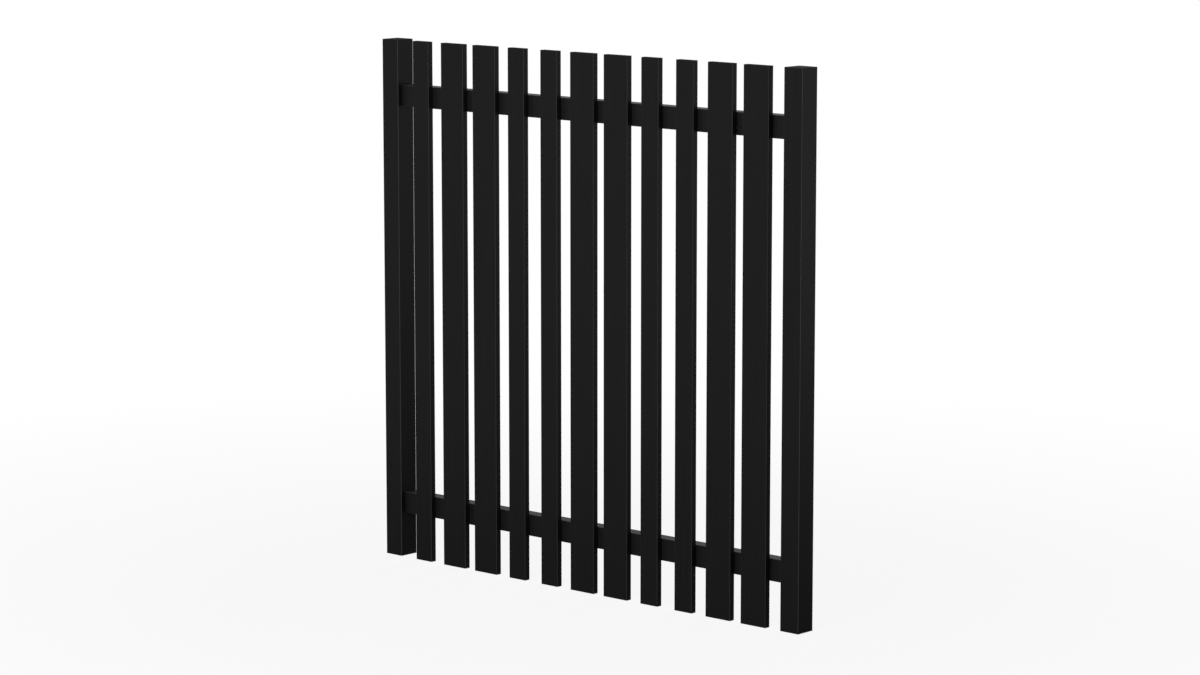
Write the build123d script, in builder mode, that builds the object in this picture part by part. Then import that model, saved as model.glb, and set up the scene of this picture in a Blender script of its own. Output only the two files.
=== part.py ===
from build123d import *

import os

# Picket fence panel: two square posts, two rails between them, and upright pickets of two widths
# on the rails' front faces. Sizes are in millimetres. The origin is the centre of the left post's
# foot, +X runs along the fence to the right, +Y goes away from the picket side and +Z is up.

# Posts
post_width = 70.0
post_depth = 70.0
post_height = 1700.0
post_edge_round = 2.0

# Rails, which butt against the posts' inner faces
rail_height = 70.0
rail_depth = 45.0
rail_edge_round = 2.0
bottom_rail_rise = 143.0
top_rail_drop = 146.0

# Pickets, from the left post to the right one
narrow_width = 70.0
wide_width = 98.0
picket_thickness = 21.0
picket_height = 1700.0
picket_edge_round = 2.0
picket_pitch = 140.0
picket_widths = [narrow_width] + [wide_width, wide_width, narrow_width, narrow_width] * 2 + [wide_width] * 2
picket_proud = 2.0

# Places that follow from the sizes
post_spacing = (len(picket_widths) + 1) * picket_pitch
rail_length = post_spacing - post_width
picket_front = -post_depth / 2 - picket_proud
rail_front = picket_front + picket_thickness
bottom_rail_base = bottom_rail_rise
top_rail_base = picket_height - top_rail_drop - rail_height


def make_post(name, centre_x):
    """Upright square post with rounded long edges, standing on the ground plane."""
    with BuildPart() as post:
        with BuildSketch(Plane.XY):
            with Locations((centre_x, 0)):
                RectangleRounded(post_width, post_depth, post_edge_round)
        extrude(amount=post_height)
    post.part.label = name
    return post.part


def make_rail(name, base):
    """Rail on edge between the posts, its front face where the pickets' backs lie."""
    with BuildPart() as rail:
        with BuildSketch(Plane.YZ.offset(post_width / 2)):
            with Locations((rail_front + rail_depth / 2, base + rail_height / 2)):
                RectangleRounded(rail_depth, rail_height, rail_edge_round)
        extrude(amount=rail_length)
    rail.part.label = name
    return rail.part


def make_picket(name, centre_x, width):
    """Flat upright board with rounded long edges, its back on the rails."""
    with BuildPart() as picket:
        with BuildSketch(Plane.XY):
            with Locations((centre_x, picket_front + picket_thickness / 2)):
                RectangleRounded(width, picket_thickness, picket_edge_round)
        extrude(amount=picket_height)
    picket.part.label = name
    return picket.part


pieces = [
    make_post("post_left", 0),
    make_post("post_right", post_spacing),
    make_rail("rail_bottom", bottom_rail_base),
    make_rail("rail_top", top_rail_base),
]
for number, width in enumerate(picket_widths, start=1):
    pieces.append(make_picket(f"picket_{number:02d}", number * picket_pitch, width))

os.makedirs("parts", exist_ok=True)
for piece in pieces:
    export_step(piece, f"parts/{piece.label}.step")
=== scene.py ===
import math
import random

import bmesh
import bpy
from mathutils import Matrix, Vector


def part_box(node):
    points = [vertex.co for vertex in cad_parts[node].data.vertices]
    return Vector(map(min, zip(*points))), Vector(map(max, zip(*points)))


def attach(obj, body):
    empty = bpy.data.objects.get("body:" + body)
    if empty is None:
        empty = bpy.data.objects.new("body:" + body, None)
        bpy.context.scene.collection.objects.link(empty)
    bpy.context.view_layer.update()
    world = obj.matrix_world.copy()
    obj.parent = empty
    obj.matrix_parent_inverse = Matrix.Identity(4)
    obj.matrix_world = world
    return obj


# The panel's frame: x runs along the fence from the left post, y goes away from the picket side
# and z is up. Lengths are in metres where no other unit is named.

# Camera, fitted to the picture's corners: yaw to the left of +y and tilt below level in degrees,
# lens and sensor in millimetres
CAMERA_PLACE = (8.6368, -8.5903, 2.5940)
CAMERA_YAW = 42.0681
CAMERA_TILT = 8.7554
CAMERA_LENS = 112.5793
SENSOR_WIDTH = 36.0

# Paint, with colours as linear values
PAINT_COLOUR = (0.0081, 0.0081, 0.0081, 1.0)
# Painted highlight: lighter colours laid on the middles of the rounded edges in place of the light
# they catch, brighter on the posts
POST_EDGE_HIGHLIGHT_COLOUR = (0.075, 0.075, 0.075, 1.0)
BOARD_EDGE_HIGHLIGHT_COLOUR = (0.05, 0.05, 0.05, 1.0)
TINT_SPREAD = 0.1
PAINT_ROUGHNESS = 0.3
ROUGHNESS_SPREAD = 0.04
SAWN_END_ROUGHNESS = 0.9
RAIL_TOP_ROUGHNESS = 0.45
PAINT_SPECULAR = 0.0374

# The largest part of a surface's direction, in x, y or z, where the painted edge highlight begins
# and where it is full, and the least share of that highlight where the cloud noise weakens it
EDGE_HIGHLIGHT_FACING = (0.93, 0.80)
LEAST_HIGHLIGHT_SHARE = 0.8

# The upright part of a face's direction where it begins to count as level and where it does
LEVEL_FACING = (0.98, 0.998)

# Growth rings on the uprights' sawn ends: the sections across x and y, that of the pickets taken
# halfway between their two widths, and where the heart lies, in shares of the section
POST_SECTION = (0.070, 0.070)
PICKET_SECTION = (0.084, 0.021)
HEART_X_RANGE = (-0.2, 1.2)
HEART_Y_RANGE = (2.2, -0.8)
RING_SCALE = 95.0
RING_DISTORTION = 2.5
RING_DETAIL = 2.0
RING_DETAIL_SCALE = 0.4
RING_DEPTH = 0.00015

# Grain: features per metre across and along it, the noise's detail and roughness, and its depth
BAND_SCALES = (55.0, 1.6)
BAND_NOISE = (3.0, 0.5)
BAND_DEPTH = 0.00016
STREAK_SCALES = (190.0, 3.5)
STREAK_NOISE = (3.0, 0.6)
STREAK_DEPTH = 0.00007
FIBRE_SCALES = (700.0, 14.0)
FIBRE_NOISE = (4.0, 0.6)
FIBRE_DEPTH = 0.00004

# The paint's skin and cloud: features per metre, then the noise's detail and roughness
SKIN_NOISE = (900.0, 2.0, 0.5)
SKIN_DEPTH = 0.000006
CLOUD_NOISE = (9.0, 3.0, 0.5)

# Most of a noise's values lie between these two
NOISE_LOW = 0.3
NOISE_HIGH = 0.7

# Screws on the rails' backs, two at each picket
SCREW_HEAD_RADIUS = 0.0042
SCREW_HEAD_STAND = 0.0009
SCREW_RIM_HEIGHT = 0.0004
SCREW_CROWN_SHARE = 0.78
SCREW_RECESS_RADIUS = 0.0020
SCREW_RECESS_FLOOR = 0.0001
SCREW_RECESS_TAPER = 0.9
SCREW_LOBES = 6
SCREW_LOBE_DEPTH = 0.16
SCREW_SEGMENTS = 36
SCREW_PAIR_SPACING = 0.036
SCREW_STRAY = 0.0015

# The screws' dark coating, and the noise that rubs it
SCREW_COLOUR = (0.012, 0.012, 0.012, 1.0)
SCREW_TINTS = (0.8, 1.3)
SCREW_ROUGHNESS = 0.38
SCREW_ROUGHNESS_SPREAD = 0.06
SCREW_SPECULAR = 0.2
RUB_NOISE = (700.0, 3.0, 0.6)
RUB_DEPTH = 0.00003

WHITE = (1.0, 1.0, 1.0, 1.0)
WORLD_STRENGTH = 0.3
FLOOR_SIZE = 60.0
FLOOR_COLOUR = (0.4, 0.4, 0.4, 1.0)

# The floor fades to white between two distances from the panel's middle. Nearer than that, these
# shares of it are white to camera rays and to glossy rays.
PANEL_MIDDLE = (0.84, 0.0, 0.0)
FADE_START = 1.2
FADE_END = 4.0
NEAR_WHITE_TO_CAMERA = 0.9
NEAR_WHITE_TO_GLOSS = 0.15

# Lamps: name, place, target, width, height and power in watts
LAMPS = [
    ("front_lamp", (0.6, -5.2, 2.4), (0.84, 0.0, 0.85), 2.4, 2.4, 158.0),
    ("front_right_lamp", (2.6, -4.7, 3.8), (0.84, 0.0, 0.85), 2.0, 2.0, 116.0),
    ("back_lamp", (0.0, 5.8, 3.0), (0.84, 0.0, 0.85), 2.5, 2.5, 200.0),
    ("back_right_lamp", (4.83, 4.39, 1.0), (0.84, 0.0, 1.0), 3.5, 2.0, 24.0),
]

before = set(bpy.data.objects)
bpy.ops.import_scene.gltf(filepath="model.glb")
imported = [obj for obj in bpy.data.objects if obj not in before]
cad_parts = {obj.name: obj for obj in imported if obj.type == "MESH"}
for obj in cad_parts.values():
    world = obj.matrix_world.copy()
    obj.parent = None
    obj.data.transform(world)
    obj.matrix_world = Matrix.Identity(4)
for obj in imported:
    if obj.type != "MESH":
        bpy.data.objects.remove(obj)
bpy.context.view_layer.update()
POSTS = ["post_left", "post_right"]
RAILS = ["rail_bottom", "rail_top"]
PICKETS = sorted(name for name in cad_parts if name.startswith("picket_"))


class Nodes:
    """The node tree of a material or world, with short ways to add a node and to end the tree."""

    def __init__(self, owner):
        owner.use_nodes = True
        self.tree = owner.node_tree
        self.tree.nodes.clear()

    def add(self, kind, inputs=None, **settings):
        """A new node. An input that is given an output is linked to it, and others are set."""
        node = self.tree.nodes.new(kind)
        for name, value in settings.items():
            setattr(node, name, value)
        for name, value in (inputs or {}).items():
            if isinstance(value, bpy.types.NodeSocket):
                self.tree.links.new(value, node.inputs[name])
            else:
                node.inputs[name].default_value = value
        return node

    def end(self, kind, shader):
        self.add(kind, {"Surface": shader})


def noise(nodes, vector, scale, detail, roughness):
    inputs = {"Vector": vector, "Scale": scale, "Detail": detail, "Roughness": roughness}
    return nodes.add("ShaderNodeTexNoise", inputs).outputs["Fac"]


def remap(nodes, value, low, high, start=NOISE_LOW, end=NOISE_HIGH):
    inputs = {"Value": value, "From Min": start, "From Max": end, "To Min": low, "To Max": high}
    return nodes.add("ShaderNodeMapRange", inputs).outputs["Result"]


def stretched(nodes, vector, scale):
    return nodes.add("ShaderNodeMapping", {"Vector": vector, "Scale": scale}).outputs["Vector"]


def grain(nodes, place, along, scales, detail_and_roughness):
    """Noise drawn out along one axis, so that it looks like wood grain."""
    across_scale, along_scale = scales
    scale = tuple(along_scale if axis == along else across_scale for axis in "XYZ")
    return noise(nodes, stretched(nodes, place, scale), 1.0, *detail_and_roughness)


def bump(nodes, height, distance, below=None):
    inputs = {"Height": height, "Strength": 1.0, "Distance": distance}
    if below is not None:
        inputs["Normal"] = below
    return nodes.add("ShaderNodeBump", inputs).outputs["Normal"]


def combined(nodes, operation, first, second):
    return nodes.add("ShaderNodeMath", {0: first, 1: second}, operation=operation).outputs["Value"]


def blend(nodes, kind, share, first, second):
    """A number or colour from first to second, by share."""
    inputs = {"Factor": share, "A": first, "B": second}
    return nodes.add("ShaderNodeMix", inputs, data_type=kind).outputs["Result"]


def blend_shaders(nodes, share, first, second):
    return nodes.add("ShaderNodeMixShader", {"Fac": share, 1: first, 2: second}).outputs["Shader"]


def tinted(colour, factor):
    return [factor * part for part in colour[:3]] + [1.0]


def facing(nodes):
    """The surface's direction as three sizes, one along each axis."""
    normal = nodes.add("ShaderNodeNewGeometry").outputs["Normal"]
    parts = nodes.add("ShaderNodeSeparateXYZ", {"Vector": normal})
    sizes = []
    for axis in "XYZ":
        size = nodes.add("ShaderNodeMath", {0: parts.outputs[axis]}, operation="ABSOLUTE")
        sizes.append(size.outputs["Value"])
    return sizes


def growth_rings(nodes, section):
    """Rings of a sawn end, round a heart that lies somewhere else in each piece of timber."""
    place = nodes.add("ShaderNodeTexCoord").outputs["Generated"]
    chance = nodes.add("ShaderNodeObjectInfo").outputs["Random"]
    heart = nodes.add("ShaderNodeCombineXYZ", {
        "X": remap(nodes, chance, *HEART_X_RANGE, 0.0, 1.0),
        "Y": remap(nodes, chance, *HEART_Y_RANGE, 0.0, 1.0),
    }).outputs["Vector"]
    offset = nodes.add("ShaderNodeVectorMath", {0: place, 1: heart}, operation="SUBTRACT")
    inputs = {
        "Vector": stretched(nodes, offset.outputs["Vector"], (*section, 0.0)),
        "Scale": RING_SCALE,
        "Distortion": RING_DISTORTION,
        "Detail": RING_DETAIL,
        "Detail Scale": RING_DETAIL_SCALE,
    }
    rings = nodes.add("ShaderNodeTexWave", inputs, wave_type="RINGS", rings_direction="Z")
    return rings.outputs["Fac"]


def add_surface(nodes, colour, roughness, specular, normal):
    inputs = {
        "Base Color": colour,
        "Roughness": roughness,
        "Specular IOR Level": specular,
        "Normal": normal,
    }
    shader = nodes.add("ShaderNodeBsdfPrincipled", inputs)
    nodes.end("ShaderNodeOutputMaterial", shader.outputs["BSDF"])


def screw_material():
    """Dark coated steel, a little rubbed."""
    material = bpy.data.materials.new("screw_black")
    nodes = Nodes(material)
    place = nodes.add("ShaderNodeTexCoord").outputs["Object"]
    rubbed = noise(nodes, place, *RUB_NOISE)
    dark, light = (tinted(SCREW_COLOUR, factor) for factor in SCREW_TINTS)
    colour = blend(nodes, "RGBA", remap(nodes, rubbed, 0.0, 1.0), dark, light)
    smoothest = SCREW_ROUGHNESS - SCREW_ROUGHNESS_SPREAD
    roughest = SCREW_ROUGHNESS + SCREW_ROUGHNESS_SPREAD
    roughness = remap(nodes, rubbed, smoothest, roughest)
    add_surface(nodes, colour, roughness, SCREW_SPECULAR, bump(nodes, rubbed, RUB_DEPTH))
    return material


def paint_material(name, along, edge_highlight_colour, level_roughness, section=None):
    """Black paint over planed timber, with a painted highlight on the middles of the rounded
    edges.

    The grain runs along the axis named, in broad bands, streaks and fine fibres, and the paint
    has a fine skin. Faces that look up or down are rougher. Uprights have a section, and growth
    rings show faintly under the paint on their sawn ends.
    """
    material = bpy.data.materials.new(name)
    nodes = Nodes(material)
    place = nodes.add("ShaderNodeTexCoord").outputs["Object"]
    bands = grain(nodes, place, along, BAND_SCALES, BAND_NOISE)
    streaks = grain(nodes, place, along, STREAK_SCALES, STREAK_NOISE)
    fibres = grain(nodes, place, along, FIBRE_SCALES, FIBRE_NOISE)
    skin = noise(nodes, place, *SKIN_NOISE)
    cloud = noise(nodes, place, *CLOUD_NOISE)

    along_fence, across, upright = facing(nodes)
    sideways = combined(nodes, "MAXIMUM", along_fence, across)
    largest = combined(nodes, "MAXIMUM", sideways, upright)
    # Where the painted edge highlight lies: the middles of the rounded edges
    edge_highlight_mask = remap(nodes, largest, 0.0, 1.0, *EDGE_HIGHLIGHT_FACING)
    level_face = remap(nodes, upright, 0.0, 1.0, *LEVEL_FACING)

    dark, light = tinted(PAINT_COLOUR, 1 - TINT_SPREAD), tinted(PAINT_COLOUR, 1 + TINT_SPREAD)
    paint = blend(nodes, "RGBA", remap(nodes, streaks, 0.0, 1.0), dark, light)
    # Painted highlight: the lighter edge colour is laid over the paint there, weakened in places
    # by the cloud noise
    highlight_share = combined(nodes, "MULTIPLY", edge_highlight_mask, remap(nodes, cloud, LEAST_HIGHLIGHT_SHARE, 1.0))
    colour = blend(nodes, "RGBA", highlight_share, paint, edge_highlight_colour)

    smoothest, roughest = PAINT_ROUGHNESS - ROUGHNESS_SPREAD, PAINT_ROUGHNESS + ROUGHNESS_SPREAD
    side_roughness = remap(nodes, streaks, smoothest, roughest)
    roughness = blend(nodes, "FLOAT", level_face, side_roughness, level_roughness)

    normal = bump(nodes, bands, BAND_DEPTH)
    normal = bump(nodes, streaks, STREAK_DEPTH, normal)
    normal = bump(nodes, fibres, FIBRE_DEPTH, normal)
    if section is not None:
        rings = combined(nodes, "MULTIPLY", growth_rings(nodes, section), level_face)
        normal = bump(nodes, rings, RING_DEPTH, normal)
    normal = bump(nodes, skin, SKIN_DEPTH, normal)
    add_surface(nodes, colour, roughness, PAINT_SPECULAR, normal)
    return material


def dress(names, material):
    for name in names:
        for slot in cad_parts[name].material_slots:
            slot.material = material


def add_object(name, data):
    thing = bpy.data.objects.new(name, data)
    bpy.context.scene.collection.objects.link(thing)
    return thing


def add_camera():
    data = bpy.data.cameras.new("camera")
    data.lens = CAMERA_LENS
    data.sensor_fit = "HORIZONTAL"
    data.sensor_width = SENSOR_WIDTH
    camera = add_object("camera", data)
    camera.location = CAMERA_PLACE
    camera.rotation_euler = (math.radians(90.0 - CAMERA_TILT), 0.0, math.radians(CAMERA_YAW))
    bpy.context.scene.camera = camera


def ring(mesh, height, radius, lobe_depth=0.0):
    """One closed ring of vertices round +z, waved into lobes where lobe_depth is not zero."""
    vertices = []
    for step in range(SCREW_SEGMENTS):
        angle = 2 * math.pi * step / SCREW_SEGMENTS
        reach = radius * (1 + lobe_depth * math.cos(SCREW_LOBES * angle))
        vertices.append(mesh.verts.new((reach * math.cos(angle), reach * math.sin(angle), height)))
    return vertices


def bridge(mesh, lower, upper):
    for step in range(SCREW_SEGMENTS):
        after = (step + 1) % SCREW_SEGMENTS
        mesh.faces.new((lower[step], lower[after], upper[after], upper[step]))


def add_head(mesh, place, turn):
    """Flat countersunk head with a six-lobe recess, made facing +z and turned to face +y."""
    head = bmesh.new()
    floor_radius = SCREW_RECESS_TAPER * SCREW_RECESS_RADIUS
    rings = [
        ring(head, 0.0, SCREW_HEAD_RADIUS),
        ring(head, SCREW_RIM_HEIGHT, SCREW_HEAD_RADIUS),
        ring(head, SCREW_HEAD_STAND, SCREW_CROWN_SHARE * SCREW_HEAD_RADIUS),
        ring(head, SCREW_HEAD_STAND, SCREW_RECESS_RADIUS, SCREW_LOBE_DEPTH),
        ring(head, SCREW_RECESS_FLOOR, floor_radius, SCREW_LOBE_DEPTH),
    ]
    for lower, upper in zip(rings, rings[1:]):
        bridge(head, lower, upper)
    head.faces.new(rings[-1])
    head.faces.new(list(reversed(rings[0])))
    to_back = Matrix.Rotation(math.radians(-90.0), 4, "X")
    bmesh.ops.transform(
        head,
        matrix=Matrix.Translation(place) @ to_back @ Matrix.Rotation(turn, 4, "Z"),
        verts=head.verts,
    )
    piece = bpy.data.meshes.new("head")
    head.to_mesh(piece)
    head.free()
    mesh.from_mesh(piece)
    bpy.data.meshes.remove(piece)


def add_screws(rail, material):
    """The screws that hold the pickets, in pairs on the rail's back."""
    low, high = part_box(rail)
    middle = (low[2] + high[2]) / 2
    stray = random.Random(rail)
    mesh = bmesh.new()
    for picket in PICKETS:
        left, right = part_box(picket)
        for side in (-0.5, 0.5):
            place = Vector((
                (left[0] + right[0]) / 2 + stray.uniform(-SCREW_STRAY, SCREW_STRAY),
                high[1],
                middle + side * SCREW_PAIR_SPACING + stray.uniform(-SCREW_STRAY, SCREW_STRAY),
            ))
            add_head(mesh, place, stray.uniform(0.0, math.tau / SCREW_LOBES))
    data = bpy.data.meshes.new(f"{rail}_screws")
    mesh.to_mesh(data)
    mesh.free()
    data.materials.append(material)
    screws = add_object(f"{rail}_screws", data)
    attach(screws, "root")


def white_share(nodes, to_camera=1.0, to_gloss=1.0):
    """How white a thing is to camera and transmission rays, and how white to glossy rays."""
    path = nodes.add("ShaderNodeLightPath").outputs
    seen = combined(nodes, "MAXIMUM", path["Is Camera Ray"], path["Is Transmission Ray"])
    seen_share = combined(nodes, "MULTIPLY", seen, to_camera)
    gloss_share = combined(nodes, "MULTIPLY", path["Is Glossy Ray"], to_gloss)
    return combined(nodes, "ADD", seen_share, gloss_share)


def faded_share(nodes):
    """The floor's white share: the near one, rising to all white away from the panel."""
    place = nodes.add("ShaderNodeNewGeometry").outputs["Position"]
    away = nodes.add("ShaderNodeVectorMath", {0: place, 1: PANEL_MIDDLE}, operation="DISTANCE")
    fade = remap(nodes, away.outputs["Value"], 0.0, 1.0, FADE_START, FADE_END)
    near = white_share(nodes, NEAR_WHITE_TO_CAMERA, NEAR_WHITE_TO_GLOSS)
    return blend(nodes, "FLOAT", fade, near, white_share(nodes))


def add_floor():
    mesh = bpy.data.meshes.new("floor")
    half = FLOOR_SIZE / 2
    corners = [(-half, -half, 0.0), (half, -half, 0.0), (half, half, 0.0), (-half, half, 0.0)]
    mesh.from_pydata(corners, [], [(0, 1, 2, 3)])
    floor = add_object("floor", mesh)
    material = bpy.data.materials.new("floor_white")
    nodes = Nodes(material)
    plain = nodes.add("ShaderNodeBsdfDiffuse", {"Color": FLOOR_COLOUR}).outputs["BSDF"]
    white = nodes.add("ShaderNodeEmission", {"Color": WHITE, "Strength": 1.0}).outputs["Emission"]
    nodes.end("ShaderNodeOutputMaterial", blend_shaders(nodes, faded_share(nodes), plain, white))
    mesh.materials.append(material)


def set_world():
    """Soft light from all round, which the camera sees as plain white."""
    world = bpy.data.worlds.new("studio")
    bpy.context.scene.world = world
    nodes = Nodes(world)
    lit, white = (
        nodes.add("ShaderNodeBackground", {"Color": WHITE, "Strength": strength})
        for strength in (WORLD_STRENGTH, 1.0)
    )
    share = white_share(nodes)
    shader = blend_shaders(nodes, share, lit.outputs["Background"], white.outputs["Background"])
    nodes.end("ShaderNodeOutputWorld", shader)


def add_lamp(name, place, target, width, height, power):
    data = bpy.data.lights.new(name, "AREA")
    data.shape = "RECTANGLE"
    data.size = width
    data.size_y = height
    data.energy = power
    lamp = add_object(name, data)
    lamp.location = place
    aim = Vector(target) - Vector(place)
    lamp.rotation_euler = aim.to_track_quat("-Z", "Y").to_euler()
    lamp.visible_camera = False


dress(POSTS, paint_material(
    "post_paint", "Z", POST_EDGE_HIGHLIGHT_COLOUR, SAWN_END_ROUGHNESS, POST_SECTION
))
dress(PICKETS, paint_material(
    "picket_paint", "Z", BOARD_EDGE_HIGHLIGHT_COLOUR, SAWN_END_ROUGHNESS, PICKET_SECTION
))
dress(RAILS, paint_material("rail_paint", "X", BOARD_EDGE_HIGHLIGHT_COLOUR, RAIL_TOP_ROUGHNESS))
add_camera()
screw_black = screw_material()
for rail in RAILS:
    add_screws(rail, screw_black)
add_floor()
set_world()
for lamp in LAMPS:
    add_lamp(*lamp)
bpy.context.scene.view_settings.view_transform = "Standard"
